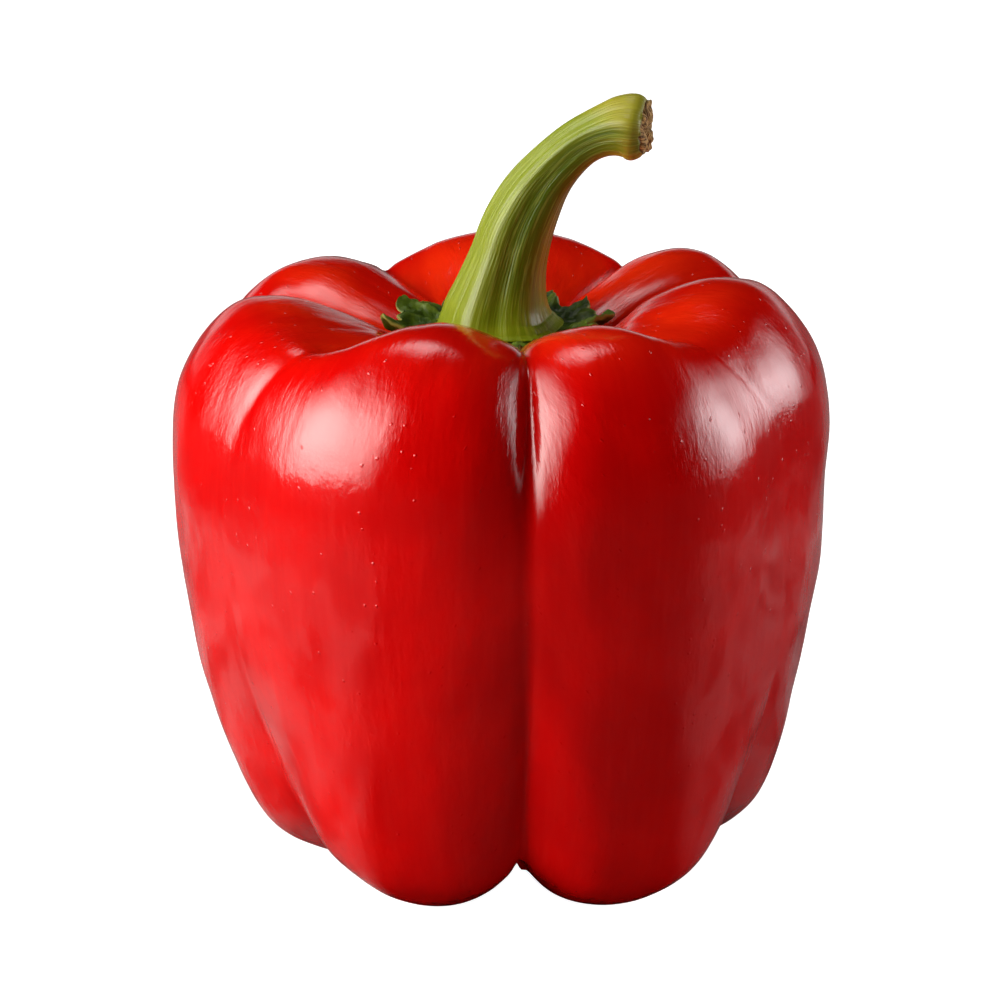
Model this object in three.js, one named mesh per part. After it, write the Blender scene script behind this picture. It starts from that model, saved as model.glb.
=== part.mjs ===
// A red bell pepper standing on its lobes, in millimetres with +Z up and its front towards -Y.
// The fruit is a lathed body pressed in by grooves, the calyx a thin leafy collar that lies in the hollow on
// top, and the stem a fluted stalk bent over to one side.
import * as THREE from 'three';

const { degToRad, lerp, smoothstep } = THREE.MathUtils;

// The fruit's outline along the middle of a lobe, from the navel underneath to the middle of the hollow on top,
// with the depth of the grooves there, how sharply they crease (0 is a soft wave, 1 a V), and the depth of the
// narrow fold along the bottom of a groove.
const OUTLINE = [
  { radius: 0, height: 11, groove: 0, crease: 1, fold: 0 }, // navel
  { radius: 11, height: 5, groove: 4, crease: 1, fold: 0 }, // inside of the foot
  { radius: 20.5, height: 0, groove: 6.5, crease: 1, fold: 0 }, // foot
  { radius: 35.8, height: 8.4, groove: 5, crease: 0.9, fold: 0.8 }, // heel
  { radius: 42.2, height: 31, groove: 2.2, crease: 0.5, fold: 2.6 }, // flank
  { radius: 44.8, height: 54, groove: 2, crease: 0.3, fold: 0.9 }, // belly
  { radius: 44, height: 70.5, groove: 2.5, crease: 0.5, fold: 3.2 }, // shoulder
  { radius: 37.5, height: 80, groove: 3, crease: 0.8, fold: 3.2 }, // crown
  { radius: 29.8, height: 82, groove: 6, crease: 1, fold: 1 }, // crest
  { radius: 20.5, height: 79.2, groove: 4, crease: 1, fold: 0.5 }, // inside of the crest
  { radius: 12.5, height: 75, groove: 1.5, crease: 1, fold: 0 }, // floor of the hollow
  { radius: 0, height: 74.5, groove: 0, crease: 1, fold: 0 }, // middle of the hollow
];
const LAST = OUTLINE.length - 1;
const FOOT = 2;
const BELLY = 5;
const CREST = 8;
const FLOOR = 10;

// The grooves between the lobes, in turn from the front towards the right. Azimuths, in degrees from -Y towards
// +X, and depth factors are given at the foot, the belly and the crest.
const GROOVES = [
  { azimuth: [4, 4, 5], depth: [1.15, 0.9, 0.5], crease: 1, fold: 1 }, // front
  { azimuth: [69, 61, 43], depth: [1.1, 1, 0.6], crease: 0.4, fold: 0 }, // front right
  { azimuth: [112, 113, 111], depth: [0.8, 1, 0.95], crease: 1, fold: 0.4 }, // right
  { azimuth: [153, 153, 150], depth: [1, 1, 1], crease: 1, fold: 0.3 }, // back right
  { azimuth: [206, 206, 210], depth: [1, 1, 0.9], crease: 1, fold: 0.3 }, // back left
  { azimuth: [255, 255, 256], depth: [1, 1, 1], crease: 1, fold: 0.4 }, // left
  { azimuth: [302, 303, 315], depth: [1.05, 0.95, 0.75], crease: 0.6, fold: 0 }, // front left
];
const FOLD_REACH = 10;
const FOLD_SHARPNESS = 1.6;

// The lobes, each after the groove of the same place in the list: how far each bulges compared with the outline
// at the foot, the belly and the crest, and how much higher its crest stands.
const LOBES = [
  { reach: [1.04, 1.005, 1], lift: 1.1 }, // front right
  { reach: [0.985, 0.975, 0.955], lift: 1.6 }, // right
  { reach: [1, 1, 1], lift: -0.8 }, // back right
  { reach: [1, 1, 1], lift: -1.3 }, // back
  { reach: [1, 1, 1], lift: -1.8 }, // back left
  { reach: [0.935, 1.005, 0.995], lift: -0.6 }, // left
  { reach: [0.97, 1.015, 0.99], lift: 1.7 }, // front left
];
const LOBE_ROUNDNESS = 0.85;
const FLAT_SPOT_DEPTH = 0.6;
const FRUIT_ROWS = 44;
const LOBE_COLUMNS = 14;

const JOINT_GAP = 0.35;

// The calyx's ragged rim: the azimuth and radius of each of its tips, and how far it turns up there.
const CALYX_TIPS = [
  { azimuth: 6, radius: 14, rise: 0.2 },
  { azimuth: 34, radius: 12.5, rise: 0.9 },
  { azimuth: 62, radius: 13.5, rise: 1.2 },
  { azimuth: 86, radius: 15.1, rise: 1.6 },
  { azimuth: 121, radius: 13, rise: 2.4 },
  { azimuth: 150, radius: 12.5, rise: 1.8 },
  { azimuth: 180, radius: 12.5, rise: 1.8 },
  { azimuth: 212, radius: 12.5, rise: 2 },
  { azimuth: 254, radius: 15.2, rise: 2.1 },
  { azimuth: 288, radius: 18, rise: 0.6 },
  { azimuth: 318, radius: 13, rise: 0.8 },
  { azimuth: 342, radius: 12.5, rise: 0.6 },
];
const CALYX_NOTCH = 2.4;
const CALYX_NOTCH_RISE = 0.5;
const CALYX_THICKNESS = 1.2;
const CALYX_RIM_THICKNESS = 0.7;
const CALYX_RINGS = 8;

// The stem's centreline, in the upright plane that it bends over in: distance out from the fruit's middle and
// height. The plane is turned from +X towards the front.
const STEM_PATH = [
  [-1, 76.6],
  [-0.95, 78.6],
  [0.5, 85.4],
  [2.3, 91],
  [5.5, 96.7],
  [10.8, 102],
  [15.6, 104.1],
  [19.3, 104.1],
];
const STEM_TURN = degToRad(15);
const STEM_OUT = new THREE.Vector3(Math.cos(STEM_TURN), -Math.sin(STEM_TURN), 0);

// The stem's radius along its length: a flared foot, a slim neck and the knob where it was cut.
const STEM_RADII = [
  [8.3, 0],
  [7.1, 1.9],
  [6.1, 4.2],
  [5.1, 8.8],
  [4.7, 13.3],
  [4.2, 17.8],
  [3.4, 23.3],
  [3.1, 28.5],
  [3.3, 32],
  [4.2, 35.4],
  [4.1, 36.8],
  [3.2, 37.8],
];
const STEM_FLUTES = 5;
const STEM_FLUTE_DEPTH = 0.05;
const STEM_ROWS = 32;
const STEM_SIDES = 30;
const STEM_END_DOME = 0.3;

// A value that changes from its foot level through its belly level to its crest level along the outline.
function alongOutline(place, [foot, belly, crest]) {
  const station = place * LAST;
  const up = smoothstep(station, FOOT, BELLY);
  const over = smoothstep(station, BELLY, CREST);
  return foot + (belly - foot) * up + (crest - belly) * over;
}

const grooveShape = new THREE.CatmullRomCurve3(
  OUTLINE.map((station) => new THREE.Vector3(station.groove, station.crease, station.fold)),
  false,
  'catmullrom',
);

// The ungrooved outline at one place across a lobe, from -1 at the groove before it to 1 at the groove after it.
// It meets the neighbouring lobe's outline at the groove.
function outlineCurve(lobe, across) {
  const own = LOBES[lobe];
  const neighbour = LOBES[(lobe + Math.sign(across) + LOBES.length) % LOBES.length];
  const share = 0.5 * smoothstep(Math.abs(across), 0, 1);
  const points = OUTLINE.map((station, index) => {
    const place = index / LAST;
    const reach = lerp(alongOutline(place, own.reach), alongOutline(place, neighbour.reach), share);
    const lift = index < FLOOR ? lerp(own.lift, neighbour.lift, share) : 0;
    const rise = alongOutline(place, [0, 0, lift]);
    return new THREE.Vector2(station.radius * reach, station.height + rise);
  });
  return new THREE.SplineCurve(points);
}

// A point of the fruit's skin as an azimuth, a radius and a height. Where grooved is 0 the grooves are left out.
function skinPoint(lobe, across, place, grooved = 1) {
  const before = GROOVES[lobe];
  const after = GROOVES[(lobe + 1) % GROOVES.length];
  const fullTurn = lobe === LOBES.length - 1 ? 360 : 0;
  const start = alongOutline(place, before.azimuth);
  const end = alongOutline(place, after.azimuth) + fullTurn;

  const curve = outlineCurve(lobe, across);
  const point = curve.getPoint(place);
  const tangent = curve.getTangent(place);

  const groove = across < 0 ? before : after;
  const shape = grooveShape.getPoint(place);
  const crease = shape.y * groove.crease;
  const offset = Math.abs(across);
  const bulge = (1 - Math.sqrt(1 - LOBE_ROUNDNESS * offset ** 2)) / (1 - Math.sqrt(1 - LOBE_ROUNDNESS));
  const wave = Math.sin((Math.PI / 2) * offset) ** 2;
  const fromFold = (1 - offset) * degToRad((end - start) / 2) * point.x;
  const fold = shape.z * groove.fold * Math.max(1 - fromFold / FOLD_REACH, 0) ** FOLD_SHARPNESS;
  const depth = grooved * (shape.x * alongOutline(place, groove.depth) * lerp(wave, bulge, crease) + fold);
  return {
    azimuth: degToRad(lerp(start, end, (across + 1) / 2)),
    radius: Math.max(point.x - tangent.y * depth, 0),
    height: point.y + tangent.x * depth,
  };
}

// The lobe that a column of the mesh is on and how far across it, with the columns closer at the grooves.
function columnPlace(column) {
  const step = column % (LOBES.length * LOBE_COLUMNS);
  const lobe = Math.floor(step / LOBE_COLUMNS);
  const even = (2 * (step % LOBE_COLUMNS)) / LOBE_COLUMNS - 1;
  return { lobe, across: 0.6 * even + 0.4 * Math.sin((Math.PI / 2) * even) };
}

// A lathed body with every vertex moved to where place(column, row) says, as an azimuth, a radius and a height.
function shapedLathe(rows, columns, place) {
  const outline = [];
  for (let row = 0; row <= rows; row += 1) {
    outline.push(new THREE.Vector2(1, row));
  }
  const geometry = new THREE.LatheGeometry(outline, columns);
  const position = geometry.attributes.position;
  for (let index = 0; index < position.count; index += 1) {
    const column = Math.floor(index / outline.length);
    const { azimuth, radius, height } = place(column % columns, index % outline.length);
    position.setXYZ(index, radius * Math.sin(azimuth), -radius * Math.cos(azimuth), height);
  }
  geometry.computeVertexNormals();
  return geometry;
}

function makeFruit() {
  return shapedLathe(FRUIT_ROWS, LOBES.length * LOBE_COLUMNS, (column, row) => {
    const { lobe, across } = columnPlace(column);
    const { azimuth, radius, height } = skinPoint(lobe, across, row / FRUIT_ROWS);
    return { azimuth, radius, height: Math.max(height, FLAT_SPOT_DEPTH) };
  });
}

// The height of the hollow on top at a radius, level with the lobes beside the grooves.
function hollowHeight(lobe, across, radius) {
  let outer = CREST / LAST;
  let inner = 1;
  for (let step = 0; step < 30; step += 1) {
    const middle = (outer + inner) / 2;
    if (skinPoint(lobe, across, middle, 0).radius > radius) {
      outer = middle;
    } else {
      inner = middle;
    }
  }
  return skinPoint(lobe, across, inner, 0).height;
}

// The calyx's reach at an azimuth and how far its rim turns up there, between the two tips beside it.
function calyxRim(azimuth) {
  const turn = 360;
  const first = CALYX_TIPS[0].azimuth;
  const degrees = THREE.MathUtils.euclideanModulo(THREE.MathUtils.radToDeg(azimuth) - first, turn) + first;
  const following = CALYX_TIPS.findIndex((tip) => tip.azimuth > degrees);
  const after = CALYX_TIPS.at(following < 0 ? 0 : following);
  const before = CALYX_TIPS.at(following < 0 ? -1 : following - 1);
  const end = after.azimuth + (following < 0 ? turn : 0);
  const between = (degrees - before.azimuth) / (end - before.azimuth);
  const notch = Math.sin(Math.PI * between);
  return {
    reach: lerp(before.radius, after.radius, between) - CALYX_NOTCH * notch,
    rise: lerp(before.rise, after.rise, between) * lerp(1, CALYX_NOTCH_RISE, notch),
  };
}

// The calyx: out along its underside to the rim, then back over its top. It lies over the lobes' skin, bridges
// the grooves and turns up towards its rim.
function makeCalyx() {
  return shapedLathe(2 * CALYX_RINGS + 1, LOBES.length * LOBE_COLUMNS, (column, row) => {
    const { lobe, across } = columnPlace(column);
    const { azimuth } = skinPoint(lobe, across, 1);
    const onTop = row > CALYX_RINGS;
    const outward = (onTop ? 2 * CALYX_RINGS + 1 - row : row) / CALYX_RINGS;
    const { reach, rise } = calyxRim(azimuth);
    const radius = outward * reach;
    const thickness = onTop ? lerp(CALYX_THICKNESS, CALYX_RIM_THICKNESS, outward ** 2) : 0;
    const height = hollowHeight(lobe, across, radius) + JOINT_GAP + rise * outward ** 3 + thickness;
    return { azimuth, radius, height };
  });
}

function makeStem() {
  const path = new THREE.CatmullRomCurve3(
    STEM_PATH.map(([out, height]) => STEM_OUT.clone().multiplyScalar(out).setZ(height)),
  );
  const side = new THREE.SplineCurve(STEM_RADII.map(([radius, along]) => new THREE.Vector2(radius, along)));
  const end = side.getPoint(1);
  const outline = [
    new THREE.Vector2(0, 0),
    ...side.getPoints(STEM_ROWS),
    new THREE.Vector2(end.x * 0.6, end.y + STEM_END_DOME),
    new THREE.Vector2(0, end.y + STEM_END_DOME),
  ];
  const geometry = new THREE.LatheGeometry(outline, STEM_SIDES);
  const length = path.getLength();
  const sideways = STEM_OUT.clone().cross(new THREE.Vector3(0, 0, 1));
  const position = geometry.attributes.position;
  const corner = new THREE.Vector3();
  for (let index = 0; index < position.count; index += 1) {
    corner.fromBufferAttribute(position, index);
    const angle = Math.atan2(corner.x, corner.z);
    const radius = Math.hypot(corner.x, corner.z) * (1 + STEM_FLUTE_DEPTH * Math.cos(STEM_FLUTES * angle));
    const along = Math.min(corner.y / length, 1);
    const tangent = path.getTangentAt(along);
    const across = tangent.clone().cross(sideways);
    const beyond = Math.max(corner.y - length, 0);
    const point = path.getPointAt(along)
      .addScaledVector(tangent, beyond)
      .addScaledVector(sideways, radius * Math.sin(angle))
      .addScaledVector(across, -radius * Math.cos(angle));
    position.setXYZ(index, point.x, point.y, point.z);
  }
  geometry.computeVertexNormals();
  return geometry;
}

function namedMesh(name, geometry, look) {
  const mesh = new THREE.Mesh(geometry, new THREE.MeshStandardMaterial({ metalness: 0, ...look }));
  mesh.name = name;
  return mesh;
}

const pepper = new THREE.Group();
pepper.add(
  namedMesh('fruit', makeFruit(), { color: 0xb80a0c, roughness: 0.22 }),
  namedMesh('calyx', makeCalyx(), { color: 0x3c5a1e, roughness: 0.6 }),
  namedMesh('stem', makeStem(), { color: 0x8fa83a, roughness: 0.45 }),
);

// The origin is under the middle of the whole pepper, on the surface that it stands on.
const box = new THREE.Box3().setFromObject(pepper);
const middle = box.getCenter(new THREE.Vector3());
pepper.position.set(-middle.x, -middle.y, -box.min.z);

export default pepper;
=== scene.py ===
"""A red bell pepper standing on a pale studio floor.

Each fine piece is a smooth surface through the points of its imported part, with its own small bumps and folds.
"""

import math

import bmesh
import bpy
import numpy as np
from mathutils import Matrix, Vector


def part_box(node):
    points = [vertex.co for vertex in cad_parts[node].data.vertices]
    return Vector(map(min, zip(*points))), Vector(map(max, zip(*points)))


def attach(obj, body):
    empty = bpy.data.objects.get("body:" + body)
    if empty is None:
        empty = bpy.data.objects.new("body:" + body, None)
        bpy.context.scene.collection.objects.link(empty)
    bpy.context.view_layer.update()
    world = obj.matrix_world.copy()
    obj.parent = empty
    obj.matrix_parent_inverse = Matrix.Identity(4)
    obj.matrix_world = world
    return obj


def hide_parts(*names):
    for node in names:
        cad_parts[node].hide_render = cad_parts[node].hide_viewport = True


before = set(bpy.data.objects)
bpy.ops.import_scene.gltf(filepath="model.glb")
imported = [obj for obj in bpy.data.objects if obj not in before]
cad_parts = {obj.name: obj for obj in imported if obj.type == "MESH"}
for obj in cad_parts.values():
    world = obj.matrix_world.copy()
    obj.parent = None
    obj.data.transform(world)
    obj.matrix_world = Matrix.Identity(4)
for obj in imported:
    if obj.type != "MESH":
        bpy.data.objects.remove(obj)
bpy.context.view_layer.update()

MM = 0.001

LOBES = 7
FOOT_DROP = 0.55 * MM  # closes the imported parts' gap between the stem's foot and the calyx

# Fine rings and columns to each packed one.
FRUIT_FINER = (5, 4)
STEM_FINER = (6, 8)
CALYX_FINER = (6, 4)

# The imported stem's rings across the underside of its foot and over its cut end.
FOOT_RINGS = 2
END_RINGS = 3

# Layers of waves on the surfaces: height and length in mm, seed, and how many times longer the waves are
# along the grain than across it. The height of SCAR_OUTLINE is in fine rings instead.
DENTS = ((0.18, 28, 11, 1), (0.07, 13, 12, 1))
RIBS = ((0.06, 9, 13, 4), (0.016, 4, 14, 4))
PEEL = ((0.007, 3.2, 15, 1),)
STEM_RIDGES = ((0.07, 2.6, 21, 22), (0.03, 1.1, 22, 26))
SCAR_OUTLINE = ((2.5, 3, 20, 1),)
SCAR_LUMPS = ((0.2, 2.4, 23, 1), (0.1, 1, 24, 1))
SCAR_DEPTH = 0.15
LEAF_FOLDS = ((0.35, 3.6, 31, 2.5), (0.18, 1.7, 32, 1.6))
LEAF_CRUMBS = ((0.1, 0.9, 33, 1),)
RAGGED_RIM = ((0.35, 1.6, 34, 1),)

WELD = 1e-7  # points nearer than this are one
MOST_EDGES = 12  # a vertex with more edges than this is a pole of its part


# Shapes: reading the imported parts


def ring_walk(ring):
    """The points of one ring in order round it, starting from its first vertex."""
    walk = [min(ring, key=lambda v: v.index)]
    left = set(ring) - {walk[0]}
    while left:
        beside = [e.other_vert(walk[-1]) for e in walk[-1].link_edges]
        onward = sorted((v for v in beside if v in left), key=lambda v: v.index)
        walk.append(onward[0])
        left.discard(onward[0])
    return np.array([v.co for v in walk], float)


def lined_up(points, previous):
    """A ring turned, and reversed if need be, so that its columns follow on from the previous ring's."""
    turns = [np.roll(points[::way], shift, 0) for way in (1, -1) for shift in range(len(points))]
    return min(turns, key=lambda turned: np.sum((turned - previous) ** 2))


def read_grid(node, start_ring):
    """A lathed part as a grid of points, in rings from its lower pole to its upper one.

    The columns run anticlockwise seen from above. Each pole is a ring of equal points. The rings are lined up
    one by one with the start ring, which is a wide one."""
    mesh = bmesh.new()
    mesh.from_mesh(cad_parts[node].data)
    bmesh.ops.remove_doubles(mesh, verts=mesh.verts, dist=WELD)
    mesh.verts.index_update()
    poles = [v for v in mesh.verts if len(v.link_edges) > MOST_EDGES]
    rings = [[min(poles, key=lambda v: v.co.z)]]
    seen = set(rings[0])
    while True:
        beyond = {e.other_vert(v) for v in rings[-1] for e in v.link_edges} - seen
        if not beyond:
            break
        seen |= beyond
        rings.append(sorted(beyond, key=lambda v: v.index))
    walks = [ring_walk(ring) for ring in rings[1:-1]]
    first = walks[start_ring]
    centre = first.mean(0)
    spokes = first - centre
    turning = np.cross(spokes, np.roll(spokes, -1, 0))[:, 2].sum()
    walks[start_ring] = first if turning > 0 else first[::-1]
    for row in range(start_ring + 1, len(walks)):
        walks[row] = lined_up(walks[row], walks[row - 1])
    for row in range(start_ring - 1, -1, -1):
        walks[row] = lined_up(walks[row], walks[row + 1])
    columns = len(first)
    bottom, top = (np.array([ring[0].co] * columns, float) for ring in (rings[0], rings[-1]))
    mesh.free()
    return np.stack([bottom, *walks, top])


def smoothed_between(values, steps, closed):
    """A smooth curve through values along their first axis, with steps points for each of them."""
    count = len(values)
    if closed:
        before, here, following, beyond = (np.roll(values, -shift, 0) for shift in (-1, 0, 1, 2))
    else:
        index = np.arange(count - 1)
        before = values[np.maximum(index - 1, 0)]
        here = values[index]
        following = values[index + 1]
        beyond = values[np.minimum(index + 2, count - 1)]
    leaving = (following - before) / 2
    arriving = (beyond - here) / 2
    filled = []
    for step in range(steps):
        t = step / steps
        filled.append(
            here * (2 * t**3 - 3 * t**2 + 1)
            + leaving * (t**3 - 2 * t**2 + t)
            + following * (3 * t**2 - 2 * t**3)
            + arriving * (t**3 - t**2)
        )
    fine = np.stack(filled, 1).reshape(-1, *values.shape[1:])
    return fine if closed else np.concatenate([fine, values[-1:]])


def fine_grid(grid, finer):
    """The grid with finer's numbers of rings and columns for each of its own."""
    rows, columns = finer
    across = smoothed_between(np.swapaxes(grid, 0, 1), columns, True)
    return smoothed_between(np.swapaxes(across, 0, 1), rows, False)


def grid_normals(grid):
    """Outward unit normals of a grid whose columns run anticlockwise and whose rings go up its outside."""
    around = np.roll(grid, -1, 1) - np.roll(grid, 1, 1)
    along = np.gradient(grid, axis=0)
    normals = np.cross(around, along)
    length = np.linalg.norm(normals, axis=2, keepdims=True)
    normals = normals / np.maximum(length, 1e-12)
    normals[0] = normals[1].mean(0)
    normals[-1] = normals[-2].mean(0)
    return normals / np.maximum(np.linalg.norm(normals, axis=2, keepdims=True), 1e-12)


def smoothstep(low, high, value):
    """0 up to low, 1 from high on, and a smooth rise between them."""
    t = np.clip((value - low) / (high - low), 0, 1)
    return t * t * (3 - 2 * t)


def waves(points, length, seed, stretch):
    """Smooth noise with a spread of about 1: plane waves about one length long, in random directions."""
    count = 28
    random = np.random.default_rng(seed)
    way = random.normal(size=(count, 3))
    way /= np.linalg.norm(way, axis=1, keepdims=True) * length * random.uniform(0.7, 1.5, (count, 1))
    phase = random.uniform(0, 2 * math.pi, count)
    turns = (points / np.array(stretch)) @ (2 * math.pi * way).T + phase
    return np.sin(turns).sum(-1) * math.sqrt(2 / count)


def relief(points, layers):
    """The sum of some layers of waves, in the unit of their heights."""
    total = 0
    for height, length, seed, stretch in layers:
        total = total + height * waves(points, length * MM, seed, (1, 1, stretch))
    return total


# Shapes: making pieces


def piece_from_grid(name, grid, attributes):
    """A closed mesh through a grid whose first and last rings are single points."""
    rings, columns = grid.shape[:2]
    inner = grid[1:-1].reshape(-1, 3)
    points = np.concatenate([grid[:1, 0], inner, grid[-1:, 0]])
    number = np.arange(inner.shape[0]).reshape(rings - 2, columns) + 1
    beside = np.roll(number, -1, 1)
    faces = np.stack([number[:-1], beside[:-1], beside[1:], number[1:]], -1).reshape(-1, 4).tolist()
    top = len(points) - 1
    faces += [[0, beside[0, c], number[0, c]] for c in range(columns)]
    faces += [[top, number[-1, c], beside[-1, c]] for c in range(columns)]
    mesh = bpy.data.meshes.new(name)
    mesh.from_pydata(points.tolist(), [], faces)
    mesh.shade_smooth()
    for label, values in attributes.items():
        flat = np.concatenate([values[:1, 0], values[1:-1].reshape(-1, *values.shape[2:]), values[-1:, 0]])
        vector = values.ndim == 3
        layer = mesh.attributes.new(label, "FLOAT_VECTOR" if vector else "FLOAT", "POINT")
        layer.data.foreach_set("vector" if vector else "value", flat.astype(np.float32).ravel())
    mesh.update()
    piece = bpy.data.objects.new(name, mesh)
    bpy.context.scene.collection.objects.link(piece)
    return piece


def azimuths(points, centre):
    """Angles round an upright axis, from the front towards the right."""
    return np.arctan2(points[..., 0] - centre[0], -(points[..., 1] - centre[1]))


def arc_lengths(grid):
    """How far each point is along its column from the first ring."""
    steps = np.linalg.norm(np.diff(grid, axis=0), axis=2)
    return np.concatenate([np.zeros((1, grid.shape[1])), np.cumsum(steps, 0)])


def front_groove_first(packed):
    """The fruit's grid turned so that its first column is the groove at the front."""
    heel = packed[len(packed) // 4]
    centre = packed[0, 0]
    per_lobe = packed.shape[1] // LOBES
    radius = np.linalg.norm((heel - centre)[:, :2], axis=1)
    shift = min(range(per_lobe), key=lambda s: radius[s::per_lobe].sum())
    grooves = np.arange(shift, packed.shape[1], per_lobe)
    front = grooves[np.argmin(np.abs(azimuths(heel[grooves], centre)))]
    return np.roll(packed, -front, 1)


def make_fruit():
    """The fruit's skin, with the shallow dents and ribs that break up its reflections."""
    packed = read_grid("fruit", start_ring=8)
    centre = packed[0, 0]
    grid = fine_grid(front_groove_first(packed), FRUIT_FINER)
    rings, columns = grid.shape[:2]
    place = np.repeat(np.linspace(0, 1, rings)[:, None], columns, 1)
    azimuth = azimuths(grid, centre)
    mean_radius = 40 * MM
    grain = np.stack([mean_radius * np.sin(azimuth), -mean_radius * np.cos(azimuth), arc_lengths(grid)], -1)

    normals = grid_normals(grid)
    off_floor = smoothstep(0.2 * MM, 6 * MM, grid[..., 2])
    off_poles = smoothstep(0, 0.06, place) * (1 - smoothstep(0.9, 1, place))
    lift = (relief(grid, DENTS) + relief(grain, RIBS) + relief(grid, PEEL)) * off_floor * off_poles * MM
    grid = grid + normals * lift[..., None]
    grid[..., 2] = np.maximum(grid[..., 2], 0)
    # crown marks the top of the fruit, where the skin's colour paints light.
    return piece_from_grid("pepper_fruit", grid, {"grain": grain, "crown": smoothstep(0.58, 0.8, place)})


def make_stem():
    """The stem, with the fine ridges along it and the rough dry scar where it was cut."""
    grid = fine_grid(read_grid("stem", start_ring=3), STEM_FINER)
    rings, columns = grid.shape[:2]
    turn = np.repeat(np.linspace(0, 2 * math.pi, columns, endpoint=False)[None], rings, 0)
    along = arc_lengths(grid)
    mean_radius = 4 * MM
    grain = np.stack([mean_radius * np.cos(turn), mean_radius * np.sin(turn), along], -1)

    ring = np.arange(rings)[:, None]
    side_start = FOOT_RINGS * STEM_FINER[0]
    end_start = rings - 1 - END_RINGS * STEM_FINER[0]
    foot = (1 - smoothstep(side_start, 3 * side_start, ring)) * np.ones_like(turn)
    before_end = 1 - smoothstep(end_start - 3, end_start, ring)
    side = smoothstep(0.5 * side_start, 1.5 * side_start, ring) * before_end
    scar = smoothstep(end_start - 2, end_start + 4, ring + relief(grain, SCAR_OUTLINE))

    normals = grid_normals(grid)
    lumps = relief(grid, SCAR_LUMPS) - SCAR_DEPTH
    lift = (relief(grain, STEM_RIDGES) * side + lumps * scar) * MM
    lift[0] = 0
    lift[-1] = lift[-2].mean()
    grid = grid + normals * lift[..., None]
    grid[..., 2] -= FOOT_DROP * foot

    # 1 on the outside of the stem's bend and -1 on the inside of it.
    heading = np.gradient(grid.mean(1), axis=0)
    outside = np.cross(heading, (0, 1, 0))
    outside /= np.linalg.norm(outside, axis=1, keepdims=True)
    outer = (normals * outside[:, None]).sum(2)
    # The stem's colour uses outer to paint light on the outside of the bend, the side the lamps light.
    attributes = {"grain": grain, "scar": scar, "along": along / along.max(), "outer": outer}
    return piece_from_grid("pepper_stem", grid, attributes)


def make_calyx():
    """The calyx, with the lumps and folds of its leafy flesh and a thin ragged rim."""
    grid = fine_grid(read_grid("calyx", start_ring=3), CALYX_FINER)
    rings, columns = grid.shape[:2]
    centre = grid[0, 0]
    azimuth = azimuths(grid, centre)
    radius = np.linalg.norm((grid - centre)[..., :2], axis=2)
    ring = np.arange(rings)[:, None] * np.ones((1, columns))
    rim = 1 - np.abs(2 * ring / (rings - 1) - 1)
    top = smoothstep(0.45 * rings, 0.55 * rings, ring)
    leafy = smoothstep(7.5 * MM, 10 * MM, radius)
    mean_radius = 12 * MM
    spokes = np.stack([mean_radius * np.sin(azimuth), -mean_radius * np.cos(azimuth), radius], -1)

    lift = (relief(spokes, LEAF_FOLDS) + relief(grid, LEAF_CRUMBS)) * leafy
    grid[..., 2] += lift * MM
    ragged = relief(spokes, RAGGED_RIM) * smoothstep(0.8, 1, rim)
    outward = np.stack([np.sin(azimuth), -np.cos(azimuth), np.zeros_like(azimuth)], -1)
    grid = grid + outward * (ragged * MM)[..., None]
    # fold masks the painted highlight on the raised folds of the top, and edge masks the rim's paler colour and
    # painted highlight.
    return piece_from_grid("pepper_calyx", grid, {"edge": rim, "fold": lift * top})


# Looks: materials


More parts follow.
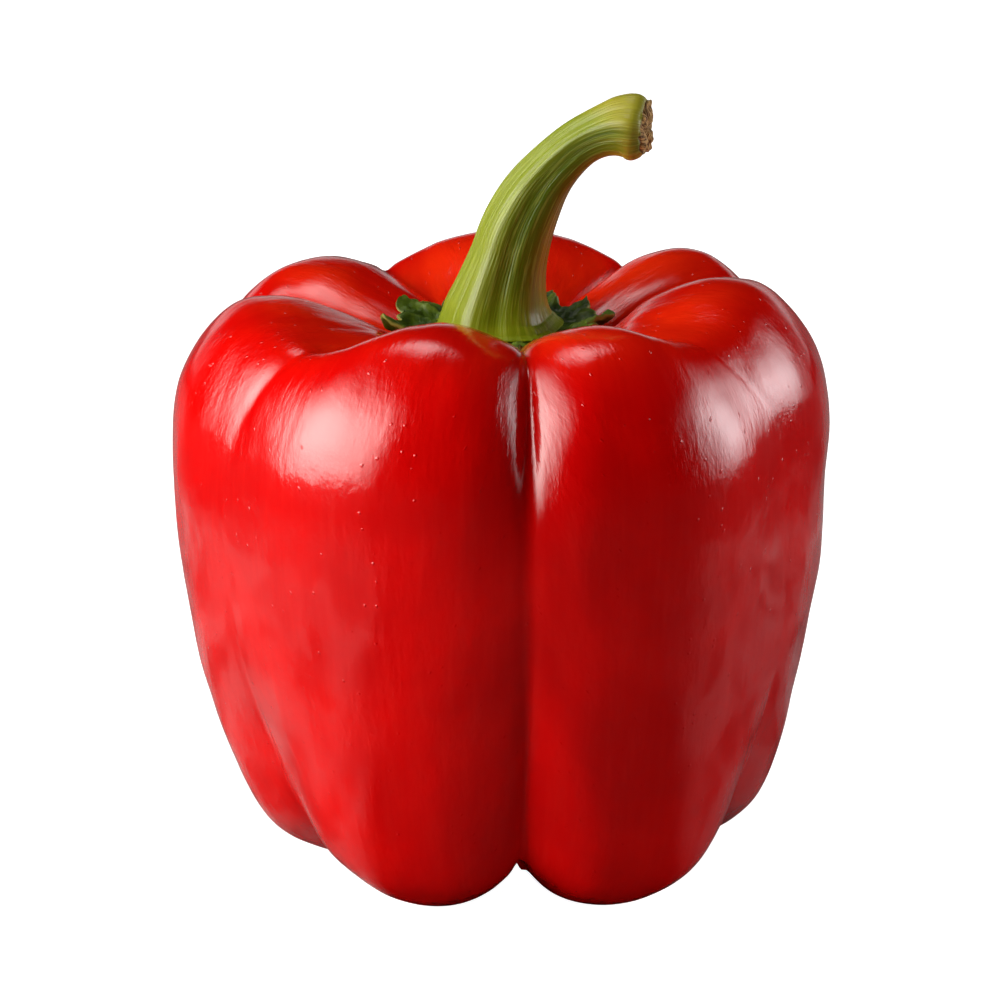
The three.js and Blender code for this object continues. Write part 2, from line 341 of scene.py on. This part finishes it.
class Nodes:
    """Short calls for building the nodes of one material, light or world."""

    def __init__(self, owner):
        owner.use_nodes = True
        self.owner = owner
        self.tree = owner.node_tree

    def put(self, target, value):
        """Link a socket to the target, or set the target to a constant."""
        if isinstance(value, bpy.types.NodeSocket):
            self.tree.links.new(value, target)
        else:
            target.default_value = value

    def outputs(self, kind, settings=None, **inputs):
        """The output sockets of a new node. Inputs are named with _ for each space."""
        node = self.tree.nodes.new(kind)
        for key, value in (settings or {}).items():
            setattr(node, key, value)
        for key, value in inputs.items():
            self.put(node.inputs[key.replace("_", " ")], value)
        return node.outputs

    def parts(self, vector):
        return self.outputs("ShaderNodeSeparateXYZ", Vector=vector)

    def attribute(self, name, out="Fac"):
        return self.outputs("ShaderNodeAttribute", {"attribute_name": name})[out]

    def place(self):
        return self.outputs("ShaderNodeNewGeometry")["Position"]

    def stretched(self, vector, scale):
        return self.outputs("ShaderNodeMapping", Vector=vector, Scale=scale)[0]

    def noise(self, vector, scale, detail, roughness):
        """Smooth noise, with scale waves to the metre."""
        inputs = {"Vector": vector, "Scale": scale, "Detail": detail, "Roughness": roughness}
        return self.outputs("ShaderNodeTexNoise", **inputs)["Fac"]

    def ramp(self, value, low, high, start=0.0, end=1.0):
        """value from low to high turned smoothly into start to end."""
        inputs = {"Value": value, "From_Min": low, "From_Max": high, "To_Min": start, "To_Max": end}
        return self.outputs("ShaderNodeMapRange", {"interpolation_type": "SMOOTHSTEP"}, **inputs)[0]

    def math(self, operation, first, second=0.0):
        node = self.tree.nodes.new("ShaderNodeMath")
        node.operation = operation
        self.put(node.inputs[0], first)
        self.put(node.inputs[1], second)
        return node.outputs[0]

    def mix(self, factor, first, second):
        """Two colours mixed. A mix node has its colours in its sockets 6 and 7 and the result in socket 2."""
        node = self.tree.nodes.new("ShaderNodeMix")
        node.data_type = "RGBA"
        self.put(node.inputs[0], factor)
        self.put(node.inputs[6], first)
        self.put(node.inputs[7], second)
        return node.outputs[2]

    def specks(self, vector, scale, size, rarity):
        """Small round specks, 1 in the middle and 0 outside, in the few cells that rarity leaves."""
        cells = self.outputs("ShaderNodeTexVoronoi", Vector=vector, Scale=scale)
        chosen = self.ramp(self.parts(cells["Color"])[0], rarity, rarity + 0.05)
        return self.math("MULTIPLY", self.ramp(cells["Distance"], size, 0.0), chosen)

    def bump(self, height, distance):
        return self.outputs("ShaderNodeBump", Height=height, Distance=distance)[0]

    def finish(self, shader="Principled BSDF", **inputs):
        """Set the shader's inputs and give back the material, light or world."""
        for key, value in inputs.items():
            self.put(self.tree.nodes[shader].inputs[key.replace("_", " ")], value)
        return self.owner


def skin_material():
    """Glossy red skin with fine wrinkles and specks in its gloss, and painted light on its crown: a brighter,
    yellower red in cloudy patches where the light from above falls.
    """
    n = Nodes(bpy.data.materials.new("pepper_skin"))
    grain = n.attribute("grain", "Vector")
    crown = n.attribute("crown")
    cloud = n.noise(grain, 55, 3, 0.5)
    streaks = n.noise(n.stretched(grain, (1, 1, 0.07)), 1500, 4, 0.6)
    deep = (0.58, 0.0004, 0.0008, 1)
    bright = (0.70, 0.0010, 0.0009, 1)
    crown_light = (0.95, 0.030, 0.003, 1)
    streak = (0.86, 0.012, 0.003, 1)
    colour = n.mix(n.ramp(cloud, 0.35, 0.7), deep, bright)
    # Painted light: the crown is mixed towards a brighter, yellower red in cloudy patches, where the light from
    # above falls.
    colour = n.mix(n.math("MULTIPLY", crown, n.ramp(cloud, 0.3, 0.7, 0.15, 0.85)), colour, crown_light)
    colour = n.mix(n.ramp(streaks, 0.4, 0.8, 0.0, 0.12), colour, streak)

    wrinkle = n.noise(n.stretched(grain, (1, 1, 0.3)), 1100, 3, 0.6)
    patch = n.ramp(n.noise(grain, 110, 3, 0.55), 0.40, 0.62, 0.25, 1.0)
    peel = n.noise(grain, 2400, 2, 0.5)
    specks = n.specks(grain, 700, 0.2, 0.66)
    height = n.math("ADD", n.math("MULTIPLY", wrinkle, patch), n.math("MULTIPLY", peel, 0.16))
    height = n.math("ADD", height, n.math("MULTIPLY", specks, 0.8))
    return n.finish(
        Base_Color=colour,
        Roughness=n.ramp(streaks, 0.3, 0.8, 0.12, 0.18),
        Normal=n.bump(height, 0.1 * MM),
        IOR=1.55,
        Subsurface_Weight=0.1,
        Subsurface_Radius=(1.0, 0.08, 0.05),
        Subsurface_Scale=2.5 * MM,
        Coat_Weight=0.3,
        Coat_Roughness=0.1,
    )


def stem_material():
    """Green stalk with painted light: paler green on the outside of its bend, the side the lamps light, and
    brown on the inside, with a dry corky end.
    """
    n = Nodes(bpy.data.materials.new("pepper_stem"))
    grain = n.attribute("grain", "Vector")
    scar = n.attribute("scar")
    along = n.attribute("along")
    outer = n.attribute("outer")
    fibres = n.noise(n.stretched(grain, (1, 1, 0.03)), 1700, 3, 0.6)
    threads = n.noise(n.stretched(grain, (1, 1, 0.025)), 5200, 2, 0.5)
    bands = n.noise(n.stretched(grain, (1, 1, 0.05)), 420, 2, 0.5)
    cloud = n.noise(grain, 260, 3, 0.5)

    # Painted light: the green is paler on the outside of the bend, where the lamps light the stem, and darker
    # on the inside.
    lit_side = n.math("ADD", outer, n.ramp(bands, 0.3, 0.7, -0.07, 0.07))
    green = n.mix(n.ramp(lit_side, -0.1, 0.8), (0.070, 0.115, 0.0010, 1), (0.20, 0.245, 0.007, 1))
    brown = n.mix(n.ramp(along, 0.5, 0.8), (0.12, 0.080, 0.0014, 1), (0.44, 0.24, 0.020, 1))
    foot = n.mix(n.ramp(cloud, 0.3, 0.7), (0.20, 0.26, 0.002, 1), (0.30, 0.36, 0.006, 1))
    pale_fibre = (0.28, 0.36, 0.04, 1)
    pale_thread = (0.36, 0.42, 0.07, 1)
    yellow_knob = (0.42, 0.34, 0.03, 1)
    colour = n.mix(n.ramp(lit_side, -0.15, -0.65, 0.0, 0.95), green, brown)
    colour = n.mix(n.ramp(fibres, 0.5, 0.72, 0.0, 0.2), colour, pale_fibre)
    colour = n.mix(n.ramp(threads, 0.52, 0.60, 0.0, 0.35), colour, pale_thread)
    colour = n.mix(n.ramp(along, 0.73, 0.84, 0.0, 0.6), colour, yellow_knob)
    colour = n.mix(n.ramp(along, 0.10, 0.30, 0.85, 0.0), colour, foot)

    dark_rim = (0.11, 0.045, 0.004, 1)
    cork_grain = n.noise(grain, 1500, 4, 0.65)
    cork = n.mix(n.ramp(cork_grain, 0.38, 0.62), (0.09, 0.028, 0.003, 1), (0.62, 0.36, 0.12, 1))
    colour = n.mix(n.ramp(scar, 0.0, 0.4, 0.0, 0.85), colour, dark_rim)
    colour = n.mix(n.ramp(scar, 0.5, 1.0), colour, cork)

    height = n.math("ADD", n.math("MULTIPLY", fibres, 0.7), n.math("MULTIPLY", threads, 0.6))
    return n.finish(
        Base_Color=colour,
        Roughness=n.ramp(scar, 0, 1, 0.32, 0.8),
        Normal=n.bump(height, 0.16 * MM),
        IOR=1.42,
        Subsurface_Weight=0.08,
        Subsurface_Radius=(0.5, 1.0, 0.1),
        Subsurface_Scale=1.2 * MM,
    )


def calyx_material():
    """Dark green leafy flesh with painted highlights on the raised folds of its top, and a paler rim, partly
    its own colour and partly a painted highlight on the leaf edges.
    """
    n = Nodes(bpy.data.materials.new("pepper_calyx"))
    place = n.place()
    cloud = n.noise(place, 420, 4, 0.6)
    painted_fold_highlight = (0.14, 0.20, 0.02, 1)
    rim_tone_and_highlight = (0.34, 0.34, 0.06, 1)
    colour = n.mix(n.ramp(cloud, 0.35, 0.65), (0.022, 0.050, 0.0015, 1), (0.080, 0.135, 0.004, 1))
    # Painted highlight on the raised folds of the top.
    colour = n.mix(n.ramp(n.attribute("fold"), 0.25, 0.8, 0.0, 0.7), colour, painted_fold_highlight)
    # The pale rim is partly the leaf edge's own colour and partly a painted highlight.
    colour = n.mix(n.ramp(n.attribute("edge"), 0.93, 1.0, 0.0, 0.8), colour, rim_tone_and_highlight)
    height = n.noise(place, 1500, 4, 0.6)
    return n.finish(Base_Color=colour, Roughness=0.4, Normal=n.bump(height, 0.15 * MM), IOR=1.38)


# The stage: floor, world, lights and camera


def floor_in_gloss(n):
    """How bright the floor is painted for the fruit's gloss, by azimuth and distance round the pepper: painted
    pools of light, seen only in reflections.

    The studio in front is dark and the light boxes stand at the sides, so the floor shows in patches near the
    fruit at its left and right, and evenly behind it."""
    place = n.place()
    x, y = n.parts(place)[:2]
    azimuth = n.math("ARCTAN2", x, n.math("MULTIPLY", y, -1))
    left = n.ramp(azimuth, math.radians(-44), math.radians(-31), 0.27, 0.0)
    right = n.ramp(azimuth, math.radians(42), math.radians(75), 0.0, 0.24)
    behind = n.ramp(n.math("ABSOLUTE", azimuth), math.radians(120), math.radians(150), 0.0, 0.25)
    distance = n.outputs("ShaderNodeVectorMath", {"operation": "LENGTH"}, Vector=place)["Value"]
    near = n.ramp(distance, 0.15, 0.22, 1.0, 0.12)
    patchy = n.ramp(n.noise(place, 34, 4, 0.6), 0.38, 0.60, 0.25, 1.5)
    beside = n.math("MULTIPLY", n.math("ADD", left, right), n.math("MULTIPLY", near, patchy))
    return n.math("MAXIMUM", n.math("ADD", beside, 0.002), behind)


def make_floor():
    """A pale floor that glows a little for the camera, so that the backdrop is even."""
    side = 6.0
    mesh = bpy.data.meshes.new("floor")
    corners = [(x * side, y * side, 0) for x, y in ((-1, -1), (1, -1), (1, 1), (-1, 1))]
    mesh.from_pydata(corners, [], [(0, 1, 2, 3)])
    floor = bpy.data.objects.new("floor", mesh)
    bpy.context.scene.collection.objects.link(floor)
    n = Nodes(bpy.data.materials.new("floor_paint"))
    rays = n.outputs("ShaderNodeLightPath")
    grey = (0.5, 0.5, 0.5, 1)
    mesh.materials.append(
        n.finish(
            # For glossy rays the floor's colour is the painted pools of light from floor_in_gloss.
            Base_Color=n.mix(rays["Is Glossy Ray"], grey, floor_in_gloss(n)),
            Roughness=0.9,
            Specular_IOR_Level=0.0,
            Emission_Color=(1, 1, 1, 1),
            Emission_Strength=rays["Is Camera Ray"],
        )
    )


def make_world():
    """A dark studio with a white backdrop low down behind the fruit, which the camera sees all round."""
    world = bpy.data.worlds.new("studio")
    bpy.context.scene.world = world
    n = Nodes(world)
    y, z = n.parts(n.outputs("ShaderNodeTexCoord")["Generated"])[1:]
    backdrop = n.math("MULTIPLY", n.ramp(y, 0.62, 0.97), n.ramp(z, 0.0, 0.26, 0.65, 0.0))
    seen = n.outputs("ShaderNodeLightPath")["Is Camera Ray"]
    n.finish("Background", Color=(1, 1, 1, 1), Strength=n.math("MAXIMUM", backdrop, seen))


def add_softbox(name, azimuth, elevation, distance, size, power, colour=(1, 1, 1)):
    """A soft rectangular light that faces the middle of the fruit and fades out towards its edges."""
    light = bpy.data.lights.new(name, "AREA")
    light.shape = "RECTANGLE"
    light.size, light.size_y = size
    light.energy = power
    light.color = colour
    n = Nodes(light)
    sides = n.parts(n.outputs("ShaderNodeTexCoord")["UV"])[:2]
    from_middle = [n.math("ABSOLUTE", n.math("SUBTRACT", side, 0.5)) for side in sides]
    fades = [n.ramp(off, 0.04, 0.5, 1.0, 0.0) for off in from_middle]
    n.finish("Emission", Strength=n.math("MULTIPLY", *fades))
    lamp = bpy.data.objects.new(name, light)
    bpy.context.scene.collection.objects.link(lamp)
    a, e = math.radians(azimuth), math.radians(elevation)
    way = Vector((math.sin(a) * math.cos(e), -math.cos(a) * math.cos(e), math.sin(e)))
    low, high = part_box("fruit")
    lamp.location = (low + high) / 2 + way * distance
    lamp.rotation_euler = way.to_track_quat("Z", "Y").to_euler()
    lamp.visible_camera = False


def make_camera():
    """The camera looks down a little, from straight in front."""
    elevation = math.radians(18.2)
    distance = 0.503
    width_at_target = 0.1364
    target = Vector((-0.0001, -0.0005, 0.0508))
    data = bpy.data.cameras.new("camera")
    data.sensor_width = 36
    data.lens = data.sensor_width * distance / width_at_target
    camera = bpy.data.objects.new("camera", data)
    bpy.context.scene.collection.objects.link(camera)
    back = Vector((0, -math.cos(elevation), math.sin(elevation)))
    camera.location = target + back * distance
    camera.rotation_euler = back.to_track_quat("Z", "Y").to_euler()
    bpy.context.scene.camera = camera


make_camera()
make_floor()
make_world()
add_softbox("key_left", -73, 20, 0.65, (1.1, 1.0), 31, (1.0, 0.97, 0.93))
add_softbox("fill_right", 99, 15, 0.6, (0.76, 0.58), 8.5, (0.98, 0.98, 1.0))
add_softbox("top_back", -146, 72, 0.8, (0.55, 0.55), 3.4)

for make, node, material in (
    (make_fruit, "fruit", skin_material),
    (make_calyx, "calyx", calyx_material),
    (make_stem, "stem", stem_material),
):
    piece = make()
    piece.data.materials.append(material())
    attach(piece, "root")
    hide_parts(node)

bpy.context.scene.view_settings.view_transform = "Standard"
